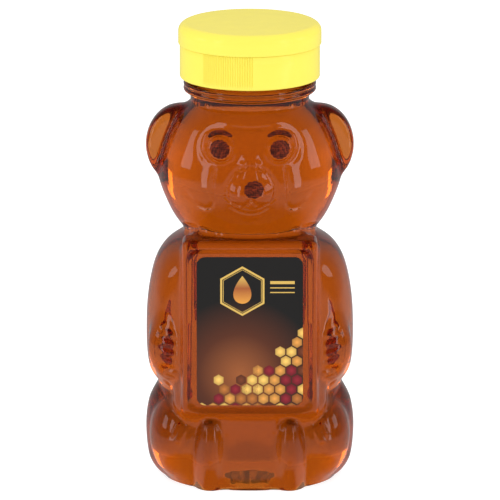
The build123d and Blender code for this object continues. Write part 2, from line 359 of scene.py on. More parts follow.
# The bear's form: height, centre y, half width, half depth. Each foot stands FOOT_X to its side
HIPS = (
    (-6.0, 0.8, 24.0, 19.6), (0.0, 0.8, 25.3, 20.8), (1.6, 0.9, 27.5, 21.8), (5.3, 1.0, 29.9, 22.8),
    (11.2, 1.1, 30.8, 23.2), (17.2, 1.1, 30.9, 23.2), (23.1, 0.9, 30.0, 22.9), (27.0, 0.5, 28.2, 22.1),
    (30.0, 0, 26.4, 21.2), (33.0, 0, 24.0, 19.2),
)
HEAD = (
    (73.5, 0, 16.3, 15.2), (77.0, 0, 20.2, 19.1), (80.3, 0, 22.6, 21.3), (84.1, 0, 24.5, 22.9),
    (88.9, 0, 26.4, 24.2), (92.6, 0, 27.1, 24.5), (97.8, 0, 26.3, 24.1), (105.5, 0, 23.7, 22.7),
    (110.0, 0, 21.3, 21.2), (113.3, 0, 18.4, 19.1), (115.0, 0, 16.5, 17.2),
)
FOOT = (
    (-6.0, -13.0, 4.5, 5.6), (-1.0, -13.0, 4.9, 7.0), (2.0, -13.0, 5.0, 8.9), (7.0, -13.0, 5.4, 11.0),
    (13.0, -13.0, 5.5, 12.1), (18.0, -13.0, 5.2, 11.9), (20.8, -13.0, 4.4, 11.0), (22.4, -13.0, 2.8, 9.2),
)
FOOT_X = 11.7
# The arm: height, outer reach, half thickness, half depth
ARM = (
    (28.0, 25.6, 3.5, 7.7), (30.2, 27.4, 5.4, 10.8), (32.2, 28.9, 7.0, 13.0), (34.5, 29.9, 8.4, 15.2),
    (38.6, 30.5, 9.7, 17.0), (45.3, 30.7, 10.1, 17.6), (54.0, 30.4, 10.1, 17.6), (61.6, 29.3, 9.7, 17.4),
    (67.4, 27.6, 8.7, 16.6), (71.6, 24.8, 7.0, 14.2), (74.2, 21.0, 4.6, 11.5), (76.0, 18.6, 3.0, 8.5),
)
# Middles of eye and nose in x and z, and half sizes of their prints
EYE = (8.8, 104.2)
EYE_PRINT = (2.85, 2.679)
NOSE = (1.2, 93.2)
NOSE_PRINT = (2.85, 2.45)

# Lines on the bear's front in x and z. From the foot's edge on they belong to the side that has x above
# zero and are mirrored to the other, apart from forehead and chin
LIP_LEFT = ((-7.2, 90.2), (-5.2, 88.5), (-1.4, 88.4), (0.3, 90.6))
LIP_RIGHT = ((0.3, 90.6), (2.2, 88.4), (5.5, 88.3), (7.2, 89.6))
LOWER_LIP = ((-5.6, 87.2), (-3.0, 85.8), (0.1, 85.2), (3.0, 85.7), (5.2, 87.0))
MOUTH = ((-1.9, 87.5), (0.2, 86.9), (1.6, 86.9), (3.6, 87.6))
SNOUT_EDGE = (
    (-6.8, 90.6), (-6.9, 93.4), (-5.2, 96.6), (-3.3, 98.8), (0.4, 99.6), (4.0, 98.8), (5.9, 96.6),
    (7.6, 93.2), (7.4, 90.4),
)
FOOT_EDGE = (
    (6.6, -1.0), (6.5, 6.0), (6.6, 12.0), (7.4, 17.5), (9.2, 21.4), (11.7, 22.9), (14.4, 21.6),
    (16.2, 17.5), (17.0, 12.0), (17.0, 6.0), (16.6, -1.0),
)
FOREHEAD = ((-5.2, 110.4), (0.3, 110.2), (5.8, 110.4))
CHIN = ((-22.0, 78.0), (-12.0, 77.6), (0.0, 77.5), (12.0, 77.6), (22.0, 78.0))
# Line of the eyebrow: raised as a ridge, and drawn in dark ink as painted shade of its crease
BROW = ((12.1, 107.2), (10.6, 108.3), (7.8, 108.8), (5.2, 108.0))
MUZZLE_EDGE = (
    (10.6, 98.4), (11.3, 94.0), (11.3, 90.5), (11.1, 88.0), (11.7, 86.5), (13.3, 86.0), (15.8, 87.0),
    (18.9, 89.8),
)
ARM_EDGE = ((20.9, 75.0), (20.9, 66.1), (23.4, 57.5), (24.4, 53.3), (22.2, 48.9))
THIGH_EDGE = ((27.0, 27.6), (24.5, 25.0), (21.8, 22.7), (19.4, 20.4))
CLAWS = (((21.3, 20.5), (22.7, 17.1)), ((20.2, 19.5), (21.9, 15.2)), ((19.0, 18.9), (20.9, 15.0)))
# Heights of the fingers' middles
FINGERS = (47.5, 44.6, 41.7, 38.8)
# Grooves stop at this depth, which leaves half of the wall
GROOVE_LIMIT = 0.45

# The sunk panel in x and z, and the depths at which both labels' panels lie
PANEL_LOW, PANEL_HIGH = (-18.1, 25.2), (18.1, 74.2)
PANEL_CORNER = 3.2
PANEL_FLOOR = LABEL_HIGH.y + 0.02
BACK_FLOOR = BACK_LOW.y - 0.02


def column(name, rows, x=0.0):
    """A smooth stack of ellipses about one upright line."""
    return stack(name, [(z, x, y, width, depth) for z, y, width, depth in flowing(rows)])


def torso():
    """The torso, which draws in towards the waist."""
    ob = block("torso", (-22.8, -22.7, 20), (22.8, 22.7, 78), 7.0, segments=8)
    places, _ = points_of(ob)
    share = step(places[:, 2], 60, 78)
    places[:, 0] *= 1 - 0.16 * share
    places[:, 1] -= 4.0 * share * (places[:, 1] > 0)
    put_points(ob, places)
    return ob


def belly():
    """The flat belly between the feet, which slopes back towards the base."""
    ob = block("belly", (-9.2, -23.2, 5.0), (8.6, -12.0, 25.0), 2.4)
    places, _ = points_of(ob)
    places[:, 1] += 2.6 * (places[:, 2] < 10) * (places[:, 1] < -18)
    put_points(ob, places)
    return ob


def arm(side):
    """The arm down the side, with its hand on the belly."""
    rows = [(z, side * (reach - half), -1.6, half, depth) for z, reach, half, depth in flowing(ARM)]
    hand = lump("hand", (side * 24.0, -12.6, 42.4), (6.2, 6.9, 10.8))
    return join("arm", stack("arm", rows), hand)


def flat_lump(name, centre, half_sizes):
    """A lump with flat front and back and a round rim."""
    ob = lump(name, centre, half_sizes)
    places, _ = points_of(ob)
    off = (places[:, 1] - centre[1]) / half_sizes[1]
    places[:, 1] = centre[1] + half_sizes[1] * np.sign(off) * np.abs(off) ** 0.3
    put_points(ob, places)
    return ob


def ear(side):
    lobe = flat_lump("ear", (side * 20.3, 0.2, 101.0), (10.5, 4.6, 12.1))
    return cut(lobe, flat_lump("ear dish", (side * 20.3, -5.4, 101.0), (8.9, 2.1, 10.5)))


def bear_lumps():
    """All the lumps that make the bear, as one mesh of closed shells."""
    parts = [
        column("hips", HIPS),
        column("head", HEAD),
        torso(),
        block("label frame", (-20.1, -24.85, 23.9), (20.1, -14.0, 77.0), 1.5),
        belly(),
        lump("muzzle", (0, -16.6, 91.5), (11.0, 9.0, 11.5)),
        lump("snout", (0, -21.0, 91.3), (7.3, 7.0, 6.6)),
        lump("snout bridge", (0.2, -20.3, 96.5), (4.3, 5.8, 7.2)),
    ]
    for side in (-1, 1):
        parts += [arm(side), ear(side), column("foot", FOOT, side * FOOT_X)]
        parts.append(lump("thigh", (side * 20.2, -8.0, 14.6), (9.6, 12.9, 13.6)))
    return join("bear form", *parts)


def sink_panel(places, normals):
    """Sinks the flat panel behind the front label."""
    x, y, z = places.T
    half = np.array([(PANEL_HIGH[0] - PANEL_LOW[0]) / 2, (PANEL_HIGH[1] - PANEL_LOW[1]) / 2])
    middle = np.array([0.0, (PANEL_HIGH[1] + PANEL_LOW[1]) / 2])
    over = np.stack([np.abs(x - middle[0]), np.abs(z - middle[1])]) - (half - PANEL_CORNER)[:, None]
    distance = np.hypot(*np.maximum(over, 0)) + np.minimum(over.max(axis=0), 0) - PANEL_CORNER
    share = (1 - step(distance, -0.55, 0.35)) * (y < -20) * (normals[:, 1] < -0.3)
    return y + (PANEL_FLOOR - y) * share


def sink_back(places, normals):
    """Flattens the panel behind the back label."""
    x, y, z = places.T
    over_x = np.abs(x) - BACK_HIGH.x - 0.6
    over_z = np.maximum(BACK_LOW.z - 0.6 - z, z - BACK_HIGH.z - 0.6)
    share = (1 - step(np.maximum(over_x, over_z), -0.5, 0.4)) * (y > 18) * (normals[:, 1] > 0.3)
    return y + (BACK_FLOOR - y) * share


def face_relief(x, z, side):
    """Eyes, muzzle and cheeks: how far the skin stands out or in."""
    away = np.hypot(side * x - EYE[0], z - EYE[1])
    relief = 0.85 * np.sqrt(hump(away, 0, 3.6))
    relief -= 0.6 * ridge(away - 3.8, 0.33)
    relief += 0.22 * ridge(away - 4.4, 0.3)
    relief -= 0.45 * ridge(away - 5.6, 1.3) * step(z, 98.0, 101.0)
    relief += crease(side * x, z, MUZZLE_EDGE, 0.5, 0.65)
    relief += 0.4 * ridge(near_path(side * x, z, BROW), 0.8)
    return relief


def hand_relief(x, z, side):
    """Fingers, and the edge where the arm leaves the chest."""
    edge_x, edge_z = np.array(ARM_EDGE[::-1]).T
    edge = np.interp(z, edge_z, edge_x)
    on_arm = step(side * x - edge, -1.3, 1.3) * step(z, 47.0, 51.0) * (1 - step(z, 70.0, 76.0))
    relief = 0.25 * on_arm * (1 - step(side * x, 26.0, 29.5))
    across = hump(side * x, 23.6, 3.6) ** 2
    tilted = z - 0.2 * (side * x - 23.6)
    for height in FINGERS:
        relief += 0.4 * across * hump(tilted, height, 1.5)
    relief += 0.5 * hump(side * x, 23.2, 2.4) * hump(z, 35.2, 1.5)
    return relief


def leg_relief(x, z, side):
    """The fold above the thigh and the claws."""
    relief = crease(side * x, z, THIGH_EDGE, 0.6, 0.8) + crease(side * x, z, FOOT_EDGE, 0.7, 0.4)
    for claw in CLAWS:
        relief -= crease(side * x, z, claw, 0.45, 0.4)
    return relief


def press_features(ob):
    """Presses the face, hands, legs and panels into the skin."""
    places, normals = points_of(ob)
    x, z = places[:, 0], places[:, 2]
    front = step(-normals[:, 1], 0.1, 0.45)
    relief = crease(x, z, LIP_LEFT + LIP_RIGHT, 0.42, 0.8) + crease(x, z, LOWER_LIP, 0.42, 0.65)
    relief += (
        crease(x, z, MOUTH, 0.5, 1.0)
        + crease(x, z, SNOUT_EDGE, 0.6, 0.5)
        + crease(x, z, FOREHEAD, 0.42, 0.9)
    )
    relief += 0.35 * np.exp(-(((x - 0.2) / 3.6) ** 2) - ((z - 87.0) / 0.8) ** 2)
    for side in (-1, 1):
        relief += face_relief(x, z, side)
        relief += (hand_relief(x, z, side) + leg_relief(x, z, side)) * (side * x > 0)
    relief += crease(x, z, CHIN, 0.9, 0.5)
    places += normals * (np.maximum(relief, -GROOVE_LIMIT) * front)[:, None]
    put_points(ob, places)
    apply(ob, "SMOOTH", factor=0.5, iterations=2)
    places, normals = points_of(ob)
    places[:, 1] = sink_panel(places, normals)
    places[:, 1] = sink_back(places, normals)
    put_points(ob, places)


def soften_folds(ob):
    """Rounds the folds between frame and arms and between feet and thighs."""
    places, _ = points_of(ob)
    x, y, z = np.abs(places[:, 0]), places[:, 1], places[:, 2]
    front = 1 - step(y, -9.0, -6.0)
    gap = step(x, 19.4, 21.4) * (1 - step(x, 28.0, 30.5)) * step(z, 27.0, 32.0) * (1 - step(z, 74.0, 77.0))
    legs = 0.6 * step(x, 13.0, 15.0) * (1 - step(x, 19.0, 22.0)) * (1 - step(z, 20.0, 25.0))
    group = ob.vertex_groups.new(name="folds")
    weights = np.round(np.maximum(gap, legs) * front, 2)
    for weight in np.unique(weights[weights > 0]):
        group.add(np.flatnonzero(weights == weight).tolist(), float(weight), "REPLACE")
    apply(ob, "SMOOTH", factor=0.5, iterations=70, vertex_group="folds")
    ob.vertex_groups.clear()


# Boxes that get finer faces, each as two corners: the face, its middle, and hand and claws of one side
FACE_BOX = ((-15, -40, 82), (15, -12, 112))
SNOUT_BOX = ((-12.9, -40, 84), (12.9, -14, 111))
SIDE_BOXES = (((17.5, -40, 32), (28.5, -8, 52)), ((15.0, -40, 12), (26.0, -8, 23)))
FORMS = {}


def bear_skin():
    """The lumps grown together into one smooth skin with its features, made once."""
    if "skin" not in FORMS:
        sizes = bpy.context.scene.bottle_sizes
        ob = bear_lumps()
        apply(ob, "REMESH", mode="VOXEL", voxel_size=sizes.grain / MM, use_smooth_shade=True)
        apply(ob, "SMOOTH", factor=0.5, iterations=sizes.soften)
        soften_folds(ob)
        mirrored = [((-high[0], *low[1:]), (-low[0], *high[1:])) for low, high in SIDE_BOXES]
        refine(ob, [FACE_BOX, *SIDE_BOXES, *mirrored])
        refine(ob, [SNOUT_BOX])
        press_features(ob)
        FORMS["skin"] = ob
        ob.hide_set(True)
    return FORMS["skin"]


def neck_outline():
    """The neck, the bead of two lobes under the cap, and the rim, as radius and height."""
    return (
        [(0, 103.0), (17.0, 103.0), (17.55, 104.0), (17.55, 116.5), (17.7, 116.9)]
        + arc((18.75, 118.05), 0.85, -100, 50, 8)
        + arc((18.75, 119.55), 0.85, -50, 90, 8)
        + [(17.9, 120.5), (17.4, 120.9), (17.4, 128.7)]
        + arc((16.9, 128.9), 0.5, 0, 90, 4)
        + [(16.2, 129.4), (0, 129.4)]
    )


def screw_thread(name, root, crest, start, start_angle, turns=1.25, inward=False):
    """A thread ridge that climbs round the axis and fades at its ends."""
    steps = int(72 * turns)
    shape = bmesh.new()
    rings = []
    for i in range(steps + 1):
        share = i / steps
        fade = min(1.0, 10 * share, 10 * (1 - share))
        angle = math.radians(start_angle + 360 * turns * share)
        height = start + THREAD_PITCH * turns * share
        tip = root + (crest - root) * max(fade, 0.05)
        foot = root + (0.3 if inward else -0.3)
        ring = []
        for radius, dz in ((foot, -1.0), (tip, -0.35), (tip, 0.35), (foot, 1.0)):
            ring.append(shape.verts.new((radius * math.cos(angle), radius * math.sin(angle), height + dz)))
        rings.append(ring)
    for a, b in zip(rings, rings[1:]):
        for k in range(4):
            shape.faces.new((a[k], b[k], b[(k + 1) % 4], a[(k + 1) % 4]))
    shape.faces.new(rings[0])
    shape.faces.new(rings[-1])
    bmesh.ops.recalc_face_normals(shape, faces=shape.faces)
    return object_from(name, shape)


def ground(lift=0.0):
    """What lies under the bottle: a flat ground with a shallow dome that is pushed up into the base."""
    turns = [math.radians(angle) for angle in range(0, 90, 9)]
    dome = [((5.0 + lift) * math.cos(turn), lift + 0.8 * math.sin(turn)) for turn in turns]
    return lathe("ground", [(0, -40.0), (60.0, -40.0), (60.0, lift)] + dome + [(0, lift + 0.8)], 96)


def inner_skin(depth, grain):
    """The skin moved inwards by a depth, with even faces."""
    ob = copy(bear_skin(), "inner skin")
    places, normals = points_of(ob)
    put_points(ob, places - normals * depth)
    apply(ob, "REMESH", mode="VOXEL", voxel_size=grain, use_smooth_shade=True)
    apply(ob, "SMOOTH", factor=0.5, iterations=3)
    return ob


def bottle_form():
    """The closed shell: outer skin with base and neck, less the space inside."""
    sizes = bpy.context.scene.bottle_sizes
    wall = sizes.wall / MM
    outer = copy(bear_skin(), "bottle")
    cut(outer, ground())
    thread = screw_thread("neck thread", 17.35, 18.6, 122.7, 0.0)
    merge(outer, merge(lathe("neck", neck_outline(), 144), thread))
    space = inner_skin(wall, sizes.inner_grain / MM)
    cut(space, ground(wall))
    bore = [(0, 104.0), (BORE, 104.0), (BORE, HONEY_LEVEL), (BORE, 132.0), (0, 132.0)]
    merge(space, lathe("bore", bore, 144))
    # Above the honey's level, and below it the inner side, which honey of nearly the same index wets, so it
    # neither bends nor mirrors light, and the outer side, which takes the honey's colour
    materials = (
        see_through("clear bottle plastic"),
        see_through("clear plastic wetted by honey", index=1.0),
        see_through("bottle plastic backed by honey", tuple(bpy.context.scene.looks.backed_tint)),
    )
    for ob, backed in ((outer, 2), (space, 1)):
        ob.data.materials.clear()
        for material in materials:
            ob.data.materials.append(material)
        for face in ob.data.polygons:
            face.material_index = backed if face.center.z < HONEY_LEVEL else 0
    cut(outer, space)
    return outer


def honey_form():
    """The honey that fills the space inside up to its level."""
    sizes = bpy.context.scene.bottle_sizes
    depth = sizes.wall / MM + HONEY_GAP
    ob = inner_skin(depth, sizes.inner_grain / MM)
    cut(ob, ground(depth))
    radius, level = BORE - HONEY_GAP, HONEY_LEVEL
    outline = [(0, 104.0), (radius, 104.0), (radius, level)]
    outline += [(15.2, level - 0.25), (14.4, level - 0.35), (0, level - 0.35)]
    return merge(ob, lathe("honey neck", outline, 144))


def drape(ob, lift):
    """Lays a flat shape onto the bear's skin from the front, a little proud of it."""
    return apply(
        ob, "SHRINKWRAP", target=bear_skin(), wrap_method="PROJECT", use_project_y=True,
        use_negative_direction=False, use_positive_direction=True, offset=lift,
    )


def disc(name, centre, half_sizes, scallops, rings=7):
    """A flat disc with a scalloped rim, in front of the bear and facing it."""
    shape = bmesh.new()
    segments = scallops * 6
    middle = shape.verts.new((centre[0], IN_FRONT, centre[1]))
    last = None
    for ring in range(1, rings + 1):
        row = []
        for i in range(segments):
            angle = 2 * math.pi * i / segments
            wave = 1 + 0.035 * (ring / rings) ** 4 * math.cos(scallops * angle)
            reach = ring / rings * wave
            x = centre[0] + half_sizes[0] * reach * math.cos(angle)
            z = centre[1] + half_sizes[1] * reach * math.sin(angle)
            row.append(shape.verts.new((x, IN_FRONT, z)))
        for i in range(segments):
            j = (i + 1) % segments
            if last is None:
                shape.faces.new((middle, row[i], row[j]))
            else:
                shape.faces.new((last[i], row[i], row[j], last[j]))
        last = row
    return object_from(name, shape)


def ribbon(name, path, width):
    """A flat strip along a path of x and z that tapers to its ends."""
    points = np.array(flowing(path, 8))
    shape = bmesh.new()
    rows = []
    for i, (x, z) in enumerate(points):
        ahead = points[min(i + 1, len(points) - 1)] - points[max(i - 1, 0)]
        ahead /= np.linalg.norm(ahead)
        share = i / (len(points) - 1)
        half = width / 2 * (0.25 + 0.75 * math.sin(math.pi * share) ** 0.6)
        side = np.array([-ahead[1], ahead[0]]) * half
        shares = (-1, -0.33, 0.33, 1)
        rows.append([shape.verts.new((x + side[0] * t, IN_FRONT, z + side[1] * t)) for t in shares])
    for a, b in zip(rows, rows[1:]):
        for k in range(3):
            shape.faces.new((a[k], b[k], b[k + 1], a[k + 1]))
    return object_from(name, shape)


def printed(name, shapes, material, node):
    """Printed marks, and the brows' dark strokes of painted shade: flat shapes laid on the skin and given
    the ink's thickness.
    """
    ob = join(name, *[drape(shape, PRINT_LIFT) for shape in shapes])
    apply(ob, "SOLIDIFY", thickness=PRINT_THICKNESS, offset=0)
    turn_outwards(ob)
    return finish_piece(ob, name, material, "bottle", "brown_ink", node, sharp=60)


def rounded_plate(name, low, high, corner=LABEL_CORNER, steps=8):
    """A thin upright plate with round corners, between two corners of a box."""
    shape = bmesh.new()
    ring = []
    for x, z, start in (
        (high.x - corner, high.z - corner, 0), (low.x + corner, high.z - corner, 90),
        (low.x + corner, low.z + corner, 180), (high.x - corner, low.z + corner, 270),
    ):
        for i in range(steps + 1):
            angle = math.radians(start + 90 * i / steps)
            across, up = corner * math.cos(angle), corner * math.sin(angle)
            ring.append(shape.verts.new((x + across, low.y, z + up)))
    face = shape.faces.new(ring)
    out = bmesh.ops.extrude_face_region(shape, geom=[face])
    moved = [item for item in out["geom"] if isinstance(item, bmesh.types.BMVert)]
    bmesh.ops.translate(shape, verts=moved, vec=(0, high.y - low.y, 0))
    bmesh.ops.recalc_face_normals(shape, faces=shape.faces)
    return object_from(name, shape)


# The cap's thumb dish stands 19 degrees off the bear's front. Each patch of ribs has a pitch in degrees and
# a number of ribs, and starts at its angle from the dish
CAP_FACING = math.radians(-90 + 19)
CAP_RADIUS = 20.7
RIB_PITCH = 2.0
RIB_COUNT = 22
RIB_STARTS = (-61.0, 119.0)


def base_outline():
    """The cap's skirt and deck with its spout, as radius and height."""
    low, deck_low, deck = BASE_LOW.z, 130.05, 131.45
    tip = BASE_HIGH.z
    return (
        [(18.95, low + 0.45)]
        + arc((19.4, low + 0.45), 0.45, 180, 270, 3)[1:]
        + arc((20.1, low + 0.6), 0.6, -90, 0, 5)
        + [(CAP_RADIUS, z) for z in (low + 1.4, low + 1.9, low + 2.4, 128.4, 128.9, 129.4)]
        + arc((20.5, deck - 0.2), 0.2, 0, 90, 3)
        + [(19.6, deck), (12.0, deck)]
        + arc((5.9, deck + 0.7), 0.7, 270, 180, 4)
        + [(4.35, tip - 0.4)]
        + arc((3.95, tip - 0.3), 0.3, 20, 90, 3)
        + [(3.45, tip), (3.2, tip - 0.2), (3.2, deck_low), (18.6, deck_low)]
        + arc((18.6, deck_low - 0.35), 0.35, 90, 0, 2)[1:]
    )


def cap_base_form():
    """Skirt, deck and spout with the ribs and thumb dish pressed in, and the thread inside."""
    ob = lathe("cap base", base_outline(), 720)
    places, _ = points_of(ob)
    radius = np.hypot(places[:, 0], places[:, 1])
    angle = np.degrees(np.arctan2(places[:, 1], places[:, 0]) - CAP_FACING)
    angle = (angle + 180) % 360 - 180
    z = places[:, 2]
    outside = (radius > 20.6) & (z > BASE_LOW.z + 1.0)
    wave = np.zeros(len(places))
    for first in RIB_STARTS:
        turn = (angle - first + 360) % 360
        inside = turn <= RIB_PITCH * RIB_COUNT
        wave += inside * 0.5 * (1 - np.cos(2 * math.pi * turn / RIB_PITCH))
    across = np.radians(angle) * CAP_RADIUS
    away = np.hypot(across, z - 133.8)
    dish = -0.8 * hump(away, 0, 9.0) * (radius > 20.2) * (z > BASE_LOW.z + 1) * (z < 131.2)
    push = (0.32 * wave - 0.22 * (wave > 0)) * outside + dish
    places[:, :2] *= (1 + push / radius)[:, None]
    put_points(ob, places)
    thread = screw_thread("cap thread", 19.05, 17.8, 122.65, -180.0, inward=True)
    return join("cap base", ob, thread)


def lid_outline():
    """The flip lid with its soft upper edge and the plug that closes the spout."""
    low, top = LID_LOW.z, LID_HIGH.z - 0.5
    spout = 135.45
    return (
        [(0, spout - 1.2), (1.9, spout - 1.2)]
        + arc((2.35, spout - 0.8), 0.4, 270, 360, 3)
        + [(2.75, 136.4)]
        + arc((3.15, 136.4), 0.4, 180, 90, 3)
        + arc((18.6, 135.6), 1.2, 90, 0, 5)
        + [(19.85, low + 0.1), (20.0, low), (20.85, low)]
        + arc((21.0, low + 0.15), 0.15, -90, 0, 3)[1:]
        + [(21.15, 134.5)]
        + arc((18.75, top - 2.4), 2.4, 0, 90, 10)
        + [(18.0, top), (0, top)]
    )


def lid_form():
    return lathe("lid", lid_outline(), 256)


def new_material(name):
    material = bpy.data.materials.new(name)
    material.use_nodes = True
    return material, material.node_tree, material.node_tree.nodes["Principled BSDF"]


def set_inputs(shader, **values):
    for key, value in values.items():
        socket = shader.inputs[key.replace("_", " ")]
        socket.default_value = (*value, 1) if hasattr(value, "__len__") and len(value) == 3 else value


def add_node(tree, kind, inputs=(), **settings):
    """A node with its settings, and its inputs set to values or joined to other nodes' outputs."""
    node = tree.nodes.new(kind)
    for key, value in settings.items():
        setattr(node, key, value)
    for key, value in dict(inputs).items():
        socket = node.inputs[key]
        if isinstance(value, bpy.types.NodeSocket):
            tree.links.new(value, socket)
        else:
            socket.default_value = value
    return node


def object_place(tree):
    return add_node(tree, "ShaderNodeTexCoord").outputs["Object"]


def noise(tree, place, scale, detail=3.0):
    inputs = {"Vector": place, "Scale": scale, "Detail": detail}
    return add_node(tree, "ShaderNodeTexNoise", inputs).outputs["Fac"]


def ramp(tree, factor, *stops):
    """A colour ramp from pairs of position and colour."""
    node = add_node(tree, "ShaderNodeValToRGB", {"Fac": factor})
    elements = node.color_ramp.elements
    for element, (place, colour) in zip(elements, (stops[0], stops[-1])):
        element.position = place
        element.color = (*colour, 1)
    for place, colour in stops[1:-1]:
        element = elements.new(place)
        element.color = (*colour, 1)
    return node.outputs["Color"]


def grey_ramp(tree, factor, low, high, start=0.3, end=0.7):
    return ramp(tree, factor, (start, (low,) * 3), (end, (high,) * 3))


def roughen(tree, shader, height, distance):
    bump = add_node(tree, "ShaderNodeBump", {"Height": height, "Distance": distance, "Strength": 1.0})
    tree.links.new(bump.outputs["Normal"], shader.inputs["Normal"])


def see_through(name, colour=(1, 1, 1), index=1.5):
    """Plastic or honey that light passes, with the slight waves of a blown wall where it bends light."""
    material, tree, shader = new_material(name)
    set_inputs(shader, Base_Color=colour, Roughness=0.0, IOR=index, Transmission_Weight=1.0)
    if index > 1:
        roughen(tree, shader, noise(tree, object_place(tree), 90.0, 2.0), 0.00004)
    return material


def honey_material():
    looks = bpy.context.scene.looks
    material = see_through("amber honey", tuple(looks.honey_tint), 1.0)
    tree = material.node_tree
    inputs = {"Color": (*looks.honey_colour, 1), "Density": looks.honey_density}
    volume = add_node(tree, "ShaderNodeVolumeAbsorption", inputs)
    tree.links.new(volume.outputs["Volume"], tree.nodes["Material Output"].inputs["Volume"])
    return material


def ink_material():
    """Dark brown ink printed in a stipple; the brows' strokes of painted shade use it too."""
    material, tree, shader = new_material("brown ink")
    place = object_place(tree)
    dots = add_node(tree, "ShaderNodeTexVoronoi", {"Vector": place, "Scale": 1900.0, "Randomness": 0.35})
    streaks = noise(tree, vector_node(tree, "MULTIPLY", place, (0.3, 0.3, 1.4)), 1100.0)
    dark = tuple(bpy.context.scene.looks.ink_colour)
    light = (dark[0] * 5.5, dark[1] * 3.6, dark[2] * 1.5)
    speckle = math_node(tree, "MULTIPLY", dots.outputs["Distance"], streaks)
    colour = ramp(tree, speckle, (0.16, dark), (0.4, light))
    tree.links.new(colour, shader.inputs["Base Color"])
    set_inputs(shader, Roughness=0.42, **{"Specular IOR Level": 0.15})
    roughen(tree, shader, dots.outputs["Distance"], 0.00004)
    return material


def cap_plastic():
    material, tree, shader = new_material("yellow cap plastic")
    place = object_place(tree)
    base = tuple(bpy.context.scene.looks.cap_colour)
    shade = tuple(value * 0.96 for value in base)
    colour = ramp(tree, noise(tree, place, 35.0), (0.3, shade), (0.7, base))
    tree.links.new(colour, shader.inputs["Base Color"])
    tree.links.new(grey_ramp(tree, noise(tree, place, 220.0), 0.2, 0.27), shader.inputs["Roughness"])
    set_inputs(shader, IOR=1.35)
    roughen(tree, shader, noise(tree, place, 1400.0), 0.00001)
    return material


def foam_material():
    material, tree, shader = new_material("white foam liner")
    place = object_place(tree)
    cells = add_node(tree, "ShaderNodeTexVoronoi", {"Vector": place, "Scale": 2600.0}).outputs["Distance"]
    colour = ramp(tree, cells, (0.0, (0.86, 0.86, 0.83)), (0.8, (0.93, 0.93, 0.9)))
    tree.links.new(colour, shader.inputs["Base Color"])
    set_inputs(shader, Roughness=0.7)
    roughen(tree, shader, cells, 0.00006)
    return material


def math_node(tree, operation, *values):
    return add_node(tree, "ShaderNodeMath", dict(enumerate(values)), operation=operation).outputs[0]


def vector_node(tree, operation, *values, out="Vector"):
    return add_node(tree, "ShaderNodeVectorMath", dict(enumerate(values)), operation=operation).outputs[out]


def axes_of(tree, vector):
    return add_node(tree, "ShaderNodeSeparateXYZ", {"Vector": vector}).outputs


def length(tree, vector):
    return vector_node(tree, "LENGTH", vector, out="Value")


def along(tree, vector, direction):
    """How far a vector goes in a direction."""
    return vector_node(tree, "DOT_PRODUCT", vector, direction, out="Value")


def sideways(tree, vector):
    """How far a vector goes to either side."""
    return math_node(tree, "ABSOLUTE", along(tree, vector, (1.0, 0.0, 0.0)))


def mix_colour(tree, factor, first, second, blend="MIX"):
    node = add_node(tree, "ShaderNodeMix", data_type="RGBA", blend_type=blend)
    for socket, value in ((node.inputs[0], factor), (node.inputs[6], first), (node.inputs[7], second)):
        if isinstance(value, bpy.types.NodeSocket):
            tree.links.new(value, socket)
        elif hasattr(value, "__len__"):
            socket.default_value = (*value, 1)
        else:
            socket.default_value = value
    return node.outputs[2]


def flat_place(tree, place, centre, size):
    """Place on the label's face, from a centre in millimetres, counted in one size in millimetres."""
    moved = vector_node(tree, "SUBTRACT", place, (centre[0] * MM, 0, centre[1] * MM))
    return vector_node(tree, "MULTIPLY", moved, (1 / (size * MM), 0, 1 / (size * MM)))


def six_sided(tree, flat):
    """Distance from the middle of a six-sided shape, 0.5 at its edge."""
    spread = vector_node(tree, "ABSOLUTE", flat)
    slant = along(tree, spread, (0.5, 0, math.sqrt(3) / 2))
    return math_node(tree, "MAXIMUM", slant, along(tree, spread, (1.0, 0, 0)))


def comb(tree, flat):
    """A comb of cells one unit wide: the way from a cell's middle to its edge, and the cell's middle."""
    half = (0.5, 1.0, math.sqrt(3) / 2)
    low = tuple(-value for value in half)
    first = vector_node(tree, "WRAP", flat, half, low)
    moved = vector_node(tree, "SUBTRACT", flat, (0.5, 0, math.sqrt(3) / 2))
    second = vector_node(tree, "WRAP", moved, half, low)
    nearer = math_node(tree, "LESS_THAN", length(tree, first), length(tree, second))
    inner = add_node(tree, "ShaderNodeMix", {0: nearer, 4: second, 5: first}, data_type="VECTOR").outputs[1]
    middle = vector_node(tree, "SNAP", vector_node(tree, "SUBTRACT", flat, inner), (0.1, 0.1, 0.1))
    return six_sided(tree, inner), middle


def between(tree, value, low, high):
    """1 where a value lies between two others, else 0."""
    above = math_node(tree, "GREATER_THAN", value, low)
    return math_node(tree, "MULTIPLY", above, math_node(tree, "LESS_THAN", value, high))


BLACK_FILM = (0.010, 0.009, 0.0085)
GOLD = (0.62, 0.40, 0.09)
AMBER = (0.34, 0.09, 0.022)
# Colours of the comb's cells, each from its share of chance on
CELL_COLOURS = (
    (0.0, (0.23, 0.010, 0.020)), (0.22, (0.40, 0.13, 0.022)), (0.45, (0.62, 0.27, 0.05)),
    (0.68, (0.15, 0.035, 0.010)), (0.82, (0.76, 0.46, 0.10)), (1.0, (0.30, 0.018, 0.022)),
)
# Height and half thickness of the gold lines, from the frame's middle
GOLD_LINES = ((2.6, 0.45), (1.0, 0.16), (-0.4, 0.16))
LABEL_MIDDLE = (LABEL_LOW.z + LABEL_HIGH.z) / 2


def label_glow(tree, place):
    """An amber glow low on black film."""
    away = length(tree, flat_place(tree, place, (-3.0, LABEL_MIDDLE - 13.0), 27.0))
    return ramp(tree, away, (0.0, (0.30, 0.085, 0.02)), (0.45, (0.09, 0.022, 0.008)), (0.85, BLACK_FILM))


